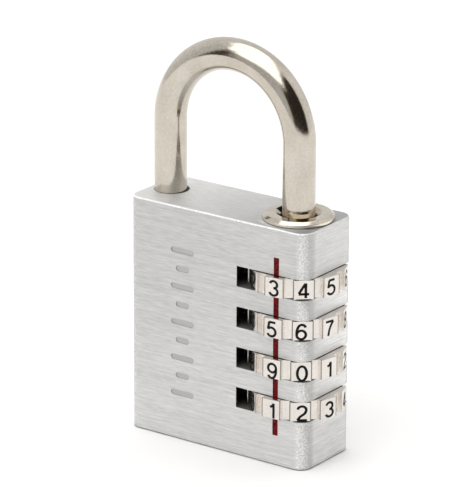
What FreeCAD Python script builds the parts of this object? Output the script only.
import FreeCAD, Part
import math
import os

import Sketcher

# Four-dial combination padlock.
# Frame: +Z up through the shackle, +X from the toe leg to the heel leg, -Y the face that is read.
# Origin: centre of the body's base face. All lengths are in millimetres, all angles in degrees.

SIZES = {
    # body block
    "body_width": 40.0,
    "body_depth": 15.45,
    "body_height": 45.7,
    "corner_radius": 2.4,
    "edge_radius": 0.3,
    # the two leg axes and the bow; the toe hole stands off its leg by the leg's slack
    "toe_x": -15.9,
    "heel_x": 13.0,
    "bar_radius": 3.05,
    "bow_centre_z": 59.6,
    "toe_end_z": 39.5,
    "heel_end_z": 3.4,
    "toe_chamfer": 0.8,
    "heel_chamfer": 0.4,
    "toe_hole_radius": 3.32,
    "toe_hole_shift_x": 0.12,
    "toe_hole_shift_y": 0.18,
    "toe_hole_floor": 38.5,
    # stepped bore under the bushing
    "bore_radius": 5.5,
    "bore_floor": 1.6,
    # dial slots: z is measured from the lowest slot's floor
    "slot_z": 9.4,
    "slot_pitch": 7.86,
    "slot_height": 3.95,
    "slot_cutter_radius": 11.3,
    # painted index groove on the front face
    "index_x": 13.55,
    "index_width": 1.15,
    "index_depth": 0.15,
    "index_low": 5.86,
    "index_high": 40.25,
    # dials
    "index_turn": 4.0,
    "dial_gap": 0.1,
    "dial_height": 3.75,
    "dial_flat_radius": 8.93,
    "groove_floor": 8.35,
    "groove_reach": 9.9,
    "groove_half_width": 0.86,
    "dial_bore_radius": 4.87,
    "dial_relief_radius": 5.45,
    "dial_relief_top": 2.3,
    "notch_half_width": 0.68,
    # sleeves
    "sleeve_radius": 4.8,
    "sleeve_hole_radius": 3.17,
    "ring_low": 0.05,
    "ring_high": 3.85,
    "skirt_hole_radius": 4.1,
    "skirt_drop": 3.96,
    "gate_reach": 4.05,
    "gate_half_width": 1.35,
    "tooth_root": 4.6,
    "tooth_reach": 5.35,
    "tooth_half_width": 0.6,
    "tooth_height": 1.3,
    # comb of locking fins, set in a slot of the heel leg
    "comb_slot_floor": 2.0,
    "comb_slot_width": 2.4,
    "comb_slot_low": 6.5,
    "comb_slot_high": 35.0,
    "comb_width": 2.3,
    "comb_face": 2.6,
    "comb_fit": 0.05,
    "fin_reach": 3.7,
    "fin_height": 2.2,
    "fin_below_ring": 0.3,
    "shackle_lift": 7.0,
    # setting pin across the heel leg
    "pin_radius": 0.85,
    "pin_root": 1.0,
    "pin_reach": 4.3,
    "pin_z": 41.3,
    # bushing
    "barrel_radius": 5.48,
    "barrel_low": 36.93,
    "chamber_radius": 4.2,
    "flange_radius": 6.6,
    "flange_height": 1.18,
    "flange_rim_radius": 6.5,
    "flange_rim_drop": 0.38,
    "flange_edge_drop": 0.46,
    "flange_flat_radius": 5.6,
    "dish_radius": 4.15,
    "dish_depth": 0.45,
    "mouth_radius": 3.5,
    "mouth_depth": 1.0,
    "keyway_reach": 4.45,
    "keyway_half_width": 1.0,
    "setting_keyway_floor": 44.5,
    # detent rod and its spring strips
    "rod_distance": 10.3,
    "rod_radius": 0.6,
    "rod_hole_radius": 0.62,
    "rod_low": 0.4,
    "rod_high": 39.0,
    "rod_hole_top": 39.2,
    "strip_loop_radius": 0.9,
    "strip_nose_radius": 0.55,
    "strip_thickness": 0.22,
    "strip_height": 2.2,
    "strip_nose_distance": 8.97,
    # coil springs
    "clutch_coil_radius": 4.45,
    "clutch_wire": 0.5,
    "clutch_coil_pitch": 1.05,
    "clutch_top": 5.35,
    "lift_coil_radius": 1.05,
    "lift_wire": 0.4,
    "lift_coil_pitch": 1.0,
    "lift_bore_radius": 1.5,
    "lift_bore_top": 13.0,
    "coil_fit": 0.05,
}

DIAL_COUNT = 4
DIGIT_COUNT = 10

doc = FreeCAD.newDocument("CombinationPadlock")


# ---- sheet, sketches and features --------------------------------------------------------------

def make_sheet():
    """Writes the driving sizes into the sheet, one named cell each."""
    sheet = doc.addObject("Spreadsheet::Sheet", "Sizes")
    for row, (name, value) in enumerate(SIZES.items(), start=1):
        sheet.set(f"A{row}", name)
        sheet.set(f"B{row}", str(value))
        sheet.setAlias(f"B{row}", name)
    doc.recompute()


def new_body(label):
    """An empty body whose label names its file."""
    body = doc.addObject("PartDesign::Body", label)
    body.Label = label
    return body


def place_on_heel_axis(body, z="0", turn="0"):
    """Moves a body that is drawn about its own Z axis onto the heel leg's axis."""
    body.setExpression("Placement.Base.x", "Sizes.heel_x")
    body.setExpression("Placement.Base.z", z)
    body.Placement.Rotation = FreeCAD.Rotation(FreeCAD.Vector(0, 0, 1), 1)
    body.setExpression("Placement.Rotation.Angle", turn)


def slot_floor(number):
    """Height of the floor of slot 1 (the lowest) to 4, as an expression."""
    return f"Sizes.slot_z + {number - 1} * Sizes.slot_pitch"


def new_sketch(body, name, role, offset="0"):
    """A sketch on one of the body's origin planes, moved along the plane's normal."""
    plane = next(f for f in body.Origin.OriginFeatures if f.Role == role)
    sketch = body.newObject("Sketcher::SketchObject", name)
    sketch.AttachmentSupport = [(plane, "")]
    sketch.MapMode = "FlatFace"
    sketch.setExpression("AttachmentOffset.Base.z", offset)
    return sketch


def fix_coordinate(sketch, kind, geometry, point, value, expression):
    """Ties one coordinate of a sketch point to an expression."""
    index = sketch.addConstraint(Sketcher.Constraint(kind, -1, 1, geometry, point, value))
    sketch.setExpression(f"Constraints[{index}]", expression)


def fix_point(sketch, geometry, point, x, y):
    """Ties a sketch point to a pair of expressions."""
    now = sketch.getPoint(geometry, point)
    fix_coordinate(sketch, "DistanceX", geometry, point, now.x, x)
    fix_coordinate(sketch, "DistanceY", geometry, point, now.y, y)


def fix_radius(sketch, geometry, value, expression):
    """Ties a circle's or an arc's radius to an expression."""
    index = sketch.addConstraint(Sketcher.Constraint("Radius", geometry, value))
    sketch.setExpression(f"Constraints[{index}]", expression)


def draw_circle(sketch, x, y, radius):
    """A circle with its centre and radius given as expressions."""
    rough = Part.Circle(FreeCAD.Vector(1, 1, 0), FreeCAD.Vector(0, 0, 1), 1)
    circle = sketch.addGeometry(rough, False)
    fix_radius(sketch, circle, 1.0, radius)
    fix_point(sketch, circle, 3, x, y)


def draw_outline(sketch, corners):
    """A closed outline of straight lines through corners, each a pair of expressions."""
    count = len(corners)
    steps = [2 * math.pi * i / count for i in range(count)]
    rough = [FreeCAD.Vector(9 * math.cos(a), 9 * math.sin(a), 0) for a in steps]
    lines = []
    for i in range(count):
        segment = Part.LineSegment(rough[i], rough[(i + 1) % count])
        lines.append(sketch.addGeometry(segment, False))
    for i, line in enumerate(lines):
        following = lines[(i + 1) % count]
        sketch.addConstraint(Sketcher.Constraint("Coincident", line, 2, following, 1))
        fix_point(sketch, line, 1, *corners[i])


def draw_rectangle(sketch, low_x, low_y, high_x, high_y):
    """A rectangle between two corners given as expressions."""
    corners = [(low_x, low_y), (high_x, low_y), (high_x, high_y), (low_x, high_y)]
    draw_outline(sketch, corners)


def extrude(body, kind, name, sketch, length):
    """A Pad along the sketch's normal, or a Pocket against it."""
    feature = body.newObject(f"PartDesign::{kind}", name)
    feature.Profile = sketch
    feature.setExpression("Length", length)
    sketch.Visibility = False
    return feature


def revolve(body, name, sketch):
    """A full turn of the sketch about its vertical axis."""
    feature = body.newObject("PartDesign::Revolution", name)
    feature.Profile = sketch
    feature.ReferenceAxis = (sketch, ["V_Axis"])
    feature.Angle = 360
    return feature


def repeat_round(body, name, feature, sketch, count):
    """Repeats a feature evenly about the sketch's normal axis."""
    pattern = body.newObject("PartDesign::PolarPattern", name)
    pattern.Originals = [feature]
    pattern.Axis = (sketch, ["N_Axis"])
    pattern.Angle = 360
    pattern.Occurrences = count
    body.Tip = pattern
    return pattern


def repeat_along(body, name, feature, sketch, axis, length):
    """Repeats a feature once per dial along one of the sketch's axes."""
    pattern = body.newObject("PartDesign::LinearPattern", name)
    pattern.Originals = [feature]
    pattern.Direction = (sketch, [axis])
    pattern.setExpression("Length", length)
    pattern.Occurrences = DIAL_COUNT
    body.Tip = pattern
    return pattern


def edge_names(shape, wanted):
    """The names of the edges that pass a test."""
    return [f"Edge{i}" for i, edge in enumerate(shape.Edges, start=1) if wanted(edge)]


def soften(body, kind, name, base, wanted, prop, size):
    """A Fillet or Chamfer on the edges of a finished feature that pass a test."""
    doc.recompute()
    feature = body.newObject(f"PartDesign::{kind}", name)
    feature.Base = (base, edge_names(base.Shape, wanted))
    feature.setExpression(prop, size)
    body.Tip = feature
    return feature


def is_vertical(edge):
    """True for an edge that runs along Z."""
    return edge.BoundBox.ZLength > 1 and edge.BoundBox.XLength + edge.BoundBox.YLength < 0.01


def lies_at(*levels):
    """A test for edges that lie flat at one of some heights."""
    def wanted(edge):
        box = edge.BoundBox
        return box.ZLength < 0.01 and any(abs(box.ZMin - z) < 0.01 for z in levels)
    return wanted


# ---- body --------------------------------------------------------------------------------------

def make_lock_body():
    """Block with the stepped bore, toe hole, four dial slots, detent hole and index groove."""
    body = new_body("lock_body")
    plan = new_sketch(body, "BodyPlan", "XY_Plane")
    half_width = "Sizes.body_width / 2"
    half_depth = "Sizes.body_depth / 2"
    draw_rectangle(plan, f"-{half_width}", f"-{half_depth}", half_width, half_depth)
    block = extrude(body, "Pad", "Block", plan, "Sizes.body_height")
    corners = soften(
        body, "Fillet", "BlockCorners", block, is_vertical, "Radius", "Sizes.corner_radius"
    )
    ends = lies_at(0, SIZES["body_height"])
    soften(body, "Fillet", "BlockEdges", corners, ends, "Radius", "Sizes.edge_radius")

    bore = new_sketch(body, "BorePlan", "XY_Plane", "Sizes.body_height")
    draw_circle(bore, "Sizes.heel_x", "0", "Sizes.bore_radius")
    extrude(body, "Pocket", "Bore", bore, "Sizes.body_height - Sizes.bore_floor")

    toe = new_sketch(body, "ToePlan", "XY_Plane", "Sizes.body_height")
    toe_x = "Sizes.toe_x + Sizes.toe_hole_shift_x"
    draw_circle(toe, toe_x, "Sizes.toe_hole_shift_y", "Sizes.toe_hole_radius")
    extrude(body, "Pocket", "ToeHole", toe, "Sizes.body_height - Sizes.toe_hole_floor")

    detent = new_sketch(body, "DetentPlan", "XY_Plane", "Sizes.rod_hole_top")
    draw_circle(detent, *rod_position(), "Sizes.rod_hole_radius")
    extrude(body, "Pocket", "DetentHole", detent, "Sizes.rod_hole_top")

    groove = new_sketch(body, "IndexFront", "XZ_Plane", half_depth)
    low_x = "Sizes.index_x - Sizes.index_width / 2"
    high_x = "Sizes.index_x + Sizes.index_width / 2"
    draw_rectangle(groove, low_x, "Sizes.index_low", high_x, "Sizes.index_high")
    extrude(body, "Pocket", "IndexGroove", groove, "Sizes.index_depth")

    slot = new_sketch(body, "SlotPlan", "XY_Plane", "Sizes.slot_z + Sizes.slot_height")
    draw_circle(slot, "Sizes.heel_x", "0", "Sizes.slot_cutter_radius")
    first = extrude(body, "Pocket", "Slot", slot, "Sizes.slot_height")
    length = f"{DIAL_COUNT - 1} * Sizes.slot_pitch"
    repeat_along(body, "Slots", first, slot, "N_Axis", length)
    return body


def rod_position():
    """Where the detent rod stands, as a pair of expressions."""
    x = "Sizes.heel_x - Sizes.rod_distance * cos(Sizes.index_turn * 1 deg)"
    y = "-Sizes.rod_distance * sin(Sizes.index_turn * 1 deg)"
    return x, y


def make_index_line():
    """Red enamel that fills the index groove on each rib between the slots."""
    strip = doc.addObject("Part::Box", "IndexStrip")
    strip.setExpression("Length", "Sizes.index_width")
    strip.setExpression("Width", "Sizes.index_depth")
    strip.setExpression("Height", "Sizes.index_high - Sizes.index_low")
    strip.setExpression("Placement.Base.x", "Sizes.index_x - Sizes.index_width / 2")
    strip.setExpression("Placement.Base.y", "-Sizes.body_depth / 2")
    strip.setExpression("Placement.Base.z", "Sizes.index_low")
    gaps = [make_slot_gap(number) for number in range(1, DIAL_COUNT + 1)]
    together = doc.addObject("Part::MultiFuse", "IndexGaps")
    together.Shapes = gaps
    line = doc.addObject("Part::Cut", "index_line")
    line.Label = "index_line"
    line.Base = strip
    line.Tool = together
    return line


def make_slot_gap(number):
    """The stretch of the index line that one slot interrupts."""
    gap = doc.addObject("Part::Box", f"IndexGap{number}")
    gap.setExpression("Length", "2 * Sizes.index_width")
    gap.setExpression("Width", "2 * Sizes.index_depth")
    gap.setExpression("Height", "Sizes.slot_height")
    gap.setExpression("Placement.Base.x", "Sizes.index_x - Sizes.index_width")
    gap.setExpression("Placement.Base.y", "-Sizes.body_depth / 2 - Sizes.index_depth / 2")
    gap.setExpression("Placement.Base.z", slot_floor(number))
    return gap


def make_bushing():
    """Flanged bushing that guides the heel leg, with a locking and a setting keyway."""
    body = new_body("shackle_bushing")
    place_on_heel_axis(body)
    top = "(Sizes.body_height + Sizes.flange_height)"
    chamber_top = (
        "Sizes.slot_z + 3 * Sizes.slot_pitch + Sizes.ring_low - Sizes.fin_below_ring"
        " + Sizes.shackle_lift + 0.02"
    )
    profile = new_sketch(body, "BushingProfile", "XZ_Plane")
    draw_outline(profile, [
        ("Sizes.chamber_radius", "Sizes.barrel_low"),
        ("Sizes.barrel_radius", "Sizes.barrel_low"),
        ("Sizes.barrel_radius", "Sizes.body_height"),
        ("Sizes.flange_radius", "Sizes.body_height"),
        ("Sizes.flange_radius", f"{top} - Sizes.flange_edge_drop"),
        ("Sizes.flange_rim_radius", f"{top} - Sizes.flange_rim_drop"),
        ("Sizes.flange_flat_radius", top),
        ("Sizes.dish_radius", top),
        ("Sizes.mouth_radius", f"{top} - Sizes.dish_depth"),
        ("Sizes.sleeve_hole_radius", f"{top} - Sizes.mouth_depth"),
        ("Sizes.sleeve_hole_radius", chamber_top),
        ("Sizes.chamber_radius", chamber_top),
    ])
    revolve(body, "Barrel", profile)

    half = "Sizes.keyway_half_width"
    locking = new_sketch(body, "LockingKeyPlan", "XY_Plane", top)
    draw_rectangle(locking, "-Sizes.keyway_reach", f"-{half}", "-1", half)
    extrude(body, "Pocket", "LockingKeyway", locking, f"{top} - Sizes.barrel_low + 1")

    setting = new_sketch(body, "SettingKeyPlan", "XY_Plane", top)
    draw_rectangle(setting, f"-{half}", "1", half, "Sizes.keyway_reach")
    extrude(body, "Pocket", "SettingKeyway", setting, f"{top} - Sizes.setting_keyway_floor")
    return body


# ---- shackle -----------------------------------------------------------------------------------

def draw_bow_path(sketch):
    """The bar's centre line: toe leg up, half a turn, heel leg down."""
    toe_x, heel_x, bow_z = SIZES["toe_x"], SIZES["heel_x"], SIZES["bow_centre_z"]
    toe_top = FreeCAD.Vector(toe_x, bow_z, 0)
    heel_top = FreeCAD.Vector(heel_x, bow_z, 0)
    toe_low = FreeCAD.Vector(toe_x, SIZES["toe_end_z"], 0)
    heel_low = FreeCAD.Vector(heel_x, SIZES["heel_end_z"], 0)
    centre = (toe_top + heel_top) / 2
    bow = Part.Circle(centre, FreeCAD.Vector(0, 0, 1), (heel_x - toe_x) / 2)
    toe_line = sketch.addGeometry(Part.LineSegment(toe_low, toe_top), False)
    arc = sketch.addGeometry(Part.ArcOfCircle(bow, 0, math.pi), False)
    heel_line = sketch.addGeometry(Part.LineSegment(heel_top, heel_low), False)
    sketch.addConstraint(Sketcher.Constraint("Coincident", toe_line, 2, arc, 2))
    sketch.addConstraint(Sketcher.Constraint("Coincident", heel_line, 1, arc, 1))
    fix_point(sketch, toe_line, 1, "Sizes.toe_x", "Sizes.toe_end_z")
    fix_point(sketch, toe_line, 2, "Sizes.toe_x", "Sizes.bow_centre_z")
    fix_point(sketch, heel_line, 1, "Sizes.heel_x", "Sizes.bow_centre_z")
    fix_point(sketch, heel_line, 2, "Sizes.heel_x", "Sizes.heel_end_z")
    fix_coordinate(sketch, "DistanceY", arc, 3, bow_z, "Sizes.bow_centre_z")


def make_shackle():
    """Bent bar with the comb slot, the setting pin's hole and the lift spring's bore."""
    body = new_body("shackle")
    section = new_sketch(body, "BarSection", "XY_Plane", "Sizes.toe_end_z")
    draw_circle(section, "Sizes.toe_x", "0", "Sizes.bar_radius")
    path = new_sketch(body, "BowPath", "XZ_Plane")
    draw_bow_path(path)
    doc.recompute()
    bar = body.newObject("PartDesign::AdditivePipe", "Bar")
    bar.Profile = section
    bar.Spine = (path, ["Edge1", "Edge2", "Edge3"])

    toe = soften(
        body, "Chamfer", "ToeTip", bar, lies_at(SIZES["toe_end_z"]), "Size", "Sizes.toe_chamfer"
    )
    heel_end = lies_at(SIZES["heel_end_z"])
    soften(body, "Chamfer", "HeelTip", toe, heel_end, "Size", "Sizes.heel_chamfer")

    lift = new_sketch(body, "LiftBorePlan", "XY_Plane", "Sizes.lift_bore_top")
    draw_circle(lift, "Sizes.heel_x", "0", "Sizes.lift_bore_radius")
    extrude(body, "Pocket", "LiftBore", lift, "Sizes.lift_bore_top - Sizes.heel_end_z + 1")

    slot = new_sketch(body, "CombSlotSide", "XZ_Plane", "Sizes.comb_slot_width / 2")
    low_x = "Sizes.heel_x + Sizes.comb_slot_floor"
    high_x = "Sizes.heel_x + Sizes.bar_radius + 1"
    draw_rectangle(slot, low_x, "Sizes.comb_slot_low", high_x, "Sizes.comb_slot_high")
    extrude(body, "Pocket", "CombSlot", slot, "Sizes.comb_slot_width")

    pin = new_sketch(body, "PinHoleSide", "YZ_Plane", "Sizes.heel_x - Sizes.pin_root")
    draw_circle(pin, "0", "Sizes.pin_z", "Sizes.pin_radius")
    extrude(body, "Pocket", "PinHole", pin, "Sizes.bar_radius")
    return body


def make_locking_comb():
    """Stamped strip with one locking fin under each sleeve's ring."""
    body = new_body("locking_comb")
    place_on_heel_axis(body)
    back = "-Sizes.comb_width / 2"
    strip = new_sketch(body, "StripSide", "XZ_Plane", back)
    low = "Sizes.comb_slot_low + Sizes.comb_fit"
    high = "Sizes.comb_slot_high - Sizes.comb_fit"
    draw_rectangle(strip, "Sizes.comb_slot_floor", low, "Sizes.comb_face", high)
    extrude(body, "Pad", "Strip", strip, "Sizes.comb_width")

    fin = new_sketch(body, "FinSide", "XZ_Plane", back)
    top = "Sizes.slot_z + Sizes.ring_low - Sizes.fin_below_ring"
    draw_rectangle(fin, "Sizes.comb_slot_floor", f"{top} - Sizes.fin_height", "Sizes.fin_reach", top)
    first = extrude(body, "Pad", "Fin", fin, "Sizes.comb_width")
    length = f"{DIAL_COUNT - 1} * Sizes.slot_pitch"
    repeat_along(body, "Fins", first, fin, "V_Axis", length)
    return body


def make_setting_pin():
    """Cross pin of the heel leg: it runs in the bushing's keyways."""
    pin = doc.addObject("Part::Cylinder", "setting_pin")
    pin.Label = "setting_pin"
    pin.setExpression("Radius", "Sizes.pin_radius")
    pin.setExpression("Height", "Sizes.pin_reach - Sizes.pin_root")
    pin.Placement.Rotation = FreeCAD.Rotation(FreeCAD.Vector(0, 1, 0), 90)
    pin.setExpression("Placement.Base.x", "Sizes.heel_x - Sizes.pin_reach")
    pin.setExpression("Placement.Base.z", "Sizes.pin_z")
    return pin


# ---- dials and sleeves -------------------------------------------------------------------------

def make_dial(number):
    """Ten-sided number dial with finger grooves and clutch notches in its bore."""
    body = new_body(f"dial_{number}")
    place_on_heel_axis(body, slot_floor(number), "Sizes.index_turn * 1 deg")
    blank = body.newObject("PartDesign::AdditivePrism", "DialBlank")
    blank.Polygon = DIGIT_COUNT
    blank.setExpression("Circumradius", f"Sizes.dial_flat_radius / cos({180 / DIGIT_COUNT} deg)")
    blank.setExpression("Height", "Sizes.dial_height")
    blank.setExpression("AttachmentOffset.Base.z", "Sizes.dial_gap")
    plane = next(f for f in body.Origin.OriginFeatures if f.Role == "XY_Plane")
    blank.AttachmentSupport = [(plane, "")]
    blank.MapMode = "FlatFace"
    top = "Sizes.dial_gap + Sizes.dial_height"

    bore = new_sketch(body, "DialBorePlan", "XY_Plane", top)
    draw_circle(bore, "0", "0", "Sizes.dial_bore_radius")
    extrude(body, "Pocket", "DialBore", bore, "Sizes.dial_height + 1")

    relief = new_sketch(body, "DialReliefPlan", "XY_Plane", "Sizes.dial_relief_top")
    draw_circle(relief, "0", "0", "Sizes.dial_relief_radius")
    extrude(body, "Pocket", "DialRelief", relief, "Sizes.dial_relief_top")

    notch = new_sketch(body, "NotchPlan", "XY_Plane", top)
    half = "Sizes.notch_half_width"
    draw_rectangle(notch, "Sizes.tooth_root", f"-{half}", "Sizes.dial_relief_radius", half)
    first_notch = extrude(body, "Pocket", "Notch", notch, f"{top} - Sizes.dial_relief_top + 0.1")
    repeat_round(body, "Notches", first_notch, notch, DIGIT_COUNT)

    groove = new_sketch(body, "FingerGroovePlan", "XY_Plane", top)
    half = "Sizes.groove_half_width"
    draw_rectangle(groove, "Sizes.groove_floor", f"-{half}", "Sizes.groove_reach", half)
    first_groove = extrude(body, "Pocket", "FingerGroove", groove, "Sizes.dial_height + 1")
    repeat_round(body, "FingerGrooves", first_groove, groove, DIGIT_COUNT)
    return body


def make_sleeve(number):
    """Gated sleeve that turns with its dial and blocks a fin unless its gate is over it."""
    body = new_body(f"sleeve_{number}")
    place_on_heel_axis(body, slot_floor(number))
    profile = new_sketch(body, "SleeveProfile", "XZ_Plane")
    draw_outline(profile, [
        ("Sizes.sleeve_hole_radius", "Sizes.ring_low"),
        ("Sizes.skirt_hole_radius", "Sizes.ring_low"),
        ("Sizes.skirt_hole_radius", "-Sizes.skirt_drop"),
        ("Sizes.sleeve_radius", "-Sizes.skirt_drop"),
        ("Sizes.sleeve_radius", "Sizes.ring_high"),
        ("Sizes.sleeve_hole_radius", "Sizes.ring_high"),
    ])
    revolve(body, "SleeveTurning", profile)

    gate = new_sketch(body, "GatePlan", "XY_Plane", "Sizes.ring_high")
    half = "Sizes.gate_half_width"
    draw_rectangle(gate, "1", f"-{half}", "Sizes.gate_reach", half)
    extrude(body, "Pocket", "Gate", gate, "Sizes.ring_high - Sizes.ring_low")

    tooth = new_sketch(body, "ToothPlan", "XY_Plane", "Sizes.ring_high - Sizes.tooth_height")
    tooth.AttachmentOffset.Rotation = FreeCAD.Rotation(FreeCAD.Vector(0, 0, 1), 1)
    tooth.setExpression("AttachmentOffset.Rotation.Angle", "Sizes.index_turn * 1 deg")
    half = "Sizes.tooth_half_width"
    draw_rectangle(tooth, "Sizes.tooth_root", f"-{half}", "Sizes.tooth_reach", half)
    first_tooth = extrude(body, "Pad", "Tooth", tooth, "Sizes.tooth_height")
    repeat_round(body, "Teeth", first_tooth, tooth, DIGIT_COUNT)
    return body


# ---- detent and springs ------------------------------------------------------------------------

def make_detent_rod():
    """Rod through the inner ends of the slots that carries the detent strips."""
    rod = doc.addObject("Part::Cylinder", "detent_rod")
    rod.Label = "detent_rod"
    x, y = rod_position()
    rod.setExpression("Radius", "Sizes.rod_radius")
    rod.setExpression("Height", "Sizes.rod_high - Sizes.rod_low")
    rod.setExpression("Placement.Base.x", x)
    rod.setExpression("Placement.Base.y", y)
    rod.setExpression("Placement.Base.z", "Sizes.rod_low")
    return rod


def draw_teardrop(sketch, loop, nose, inset):
    """Two arcs, about the rod and about the nose, joined by their common tangents."""
    loop_x, nose_x = -SIZES["rod_distance"], -SIZES["strip_nose_distance"]
    loop_size, nose_size = SIZES[loop] - inset, SIZES[nose] - inset
    lean = math.acos((loop_size - nose_size) / (nose_x - loop_x))
    axis = FreeCAD.Vector(0, 0, 1)
    loop_circle = Part.Circle(FreeCAD.Vector(loop_x, 0, 0), axis, loop_size)
    nose_circle = Part.Circle(FreeCAD.Vector(nose_x, 0, 0), axis, nose_size)
    loop_arc = Part.ArcOfCircle(loop_circle, lean, 2 * math.pi - lean)
    nose_arc = Part.ArcOfCircle(nose_circle, -lean, lean)
    back = sketch.addGeometry(loop_arc, False)
    front = sketch.addGeometry(nose_arc, False)
    upper_line = Part.LineSegment(loop_arc.StartPoint, nose_arc.EndPoint)
    lower_line = Part.LineSegment(loop_arc.EndPoint, nose_arc.StartPoint)
    upper = sketch.addGeometry(upper_line, False)
    lower = sketch.addGeometry(lower_line, False)
    for line, back_end, front_end in ((upper, 1, 2), (lower, 2, 1)):
        sketch.addConstraint(Sketcher.Constraint("Tangent", line, 1, back, back_end))
        sketch.addConstraint(Sketcher.Constraint("Tangent", line, 2, front, front_end))
    fix_point(sketch, back, 3, "-Sizes.rod_distance", "0")
    fix_point(sketch, front, 3, "-Sizes.strip_nose_distance", "0")
    inset_text = " - Sizes.strip_thickness" if inset else ""
    fix_radius(sketch, back, loop_size, f"Sizes.{loop}{inset_text}")
    fix_radius(sketch, front, nose_size, f"Sizes.{nose}{inset_text}")


def make_detent_spring(number):
    """Bent strip round the rod, with its nose resting in a groove of the dial."""
    body = new_body(f"detent_spring_{number}")
    floor = slot_floor(number)
    middle = f"{floor} + (Sizes.slot_height - Sizes.strip_height) / 2"
    place_on_heel_axis(body, middle, "Sizes.index_turn * 1 deg")
    plan = new_sketch(body, "StripPlan", "XY_Plane")
    draw_teardrop(plan, "strip_loop_radius", "strip_nose_radius", 0)
    draw_teardrop(plan, "strip_loop_radius", "strip_nose_radius", SIZES["strip_thickness"])
    extrude(body, "Pad", "BentStrip", plan, "Sizes.strip_height")
    return body


def make_coil(label, coil_radius, wire, pitch, low, high):
    """Round-wire coil spring about the heel axis, between two heights."""
    body = new_body(label)
    place_on_heel_axis(body)
    section = new_sketch(body, "WireSection", "XZ_Plane")
    draw_circle(section, coil_radius, f"{low} + {wire} / 2", f"{wire} / 2")
    coil = body.newObject("PartDesign::AdditiveHelix", "Coil")
    coil.Profile = section
    coil.ReferenceAxis = (section, ["V_Axis"])
    coil.Mode = "pitch-height-angle"
    coil.setExpression("Pitch", pitch)
    coil.setExpression("Height", f"{high} - {low} - {wire}")
    return body


def make_clutch_spring():
    """Spring under the sleeves that keeps their teeth in the dials."""
    return make_coil(
        "clutch_spring",
        "Sizes.clutch_coil_radius",
        "Sizes.clutch_wire",
        "Sizes.clutch_coil_pitch",
        "(Sizes.bore_floor + Sizes.coil_fit)",
        "Sizes.clutch_top",
    )


def make_shackle_spring():
    """Spring in the heel leg's end that lifts the shackle."""
    return make_coil(
        "shackle_spring",
        "Sizes.lift_coil_radius",
        "Sizes.lift_wire",
        "Sizes.lift_coil_pitch",
        "(Sizes.bore_floor + Sizes.coil_fit)",
        "(Sizes.lift_bore_top - Sizes.coil_fit)",
    )


# ---- checks and export -------------------------------------------------------------------------

def check_document():
    """Stops if any object of the document failed to build."""
    for item in doc.Objects:
        if "Invalid" in item.State or "Error" in item.State:
            raise RuntimeError(f"{item.Name} failed: {item.State}")


def check_cuts():
    """Stops if a pocket removed nothing, as one that points away from its solid does."""
    for item in doc.Objects:
        if item.TypeId != "PartDesign::Pocket":
            continue
        if item.Shape.Volume > item.BaseFeature.Shape.Volume - 1e-4:
            raise RuntimeError(f"{item.Name} cuts nothing")


def check_piece(piece):
    """Stops if a sub-part's shape is missing or not valid."""
    shape = piece.Shape
    if shape.isNull() or not shape.isValid() or not shape.Solids:
        raise RuntimeError(f"{piece.Label} has no valid solid")


make_sheet()
pieces = [make_lock_body(), make_index_line(), make_bushing()]
pieces += [make_shackle(), make_locking_comb(), make_setting_pin()]
for dial_number in range(1, DIAL_COUNT + 1):
    pieces.append(make_dial(dial_number))
    pieces.append(make_sleeve(dial_number))
    pieces.append(make_detent_spring(dial_number))
pieces += [make_detent_rod(), make_clutch_spring(), make_shackle_spring()]
doc.recompute()

check_document()
check_cuts()
for piece in pieces:
    check_piece(piece)

os.makedirs("parts", exist_ok=True)
for piece in pieces:
    piece.Shape.exportStep(f"parts/{piece.Label}.step")
    print(piece.Label, len(piece.Shape.Solids), round(piece.Shape.Volume, 3))
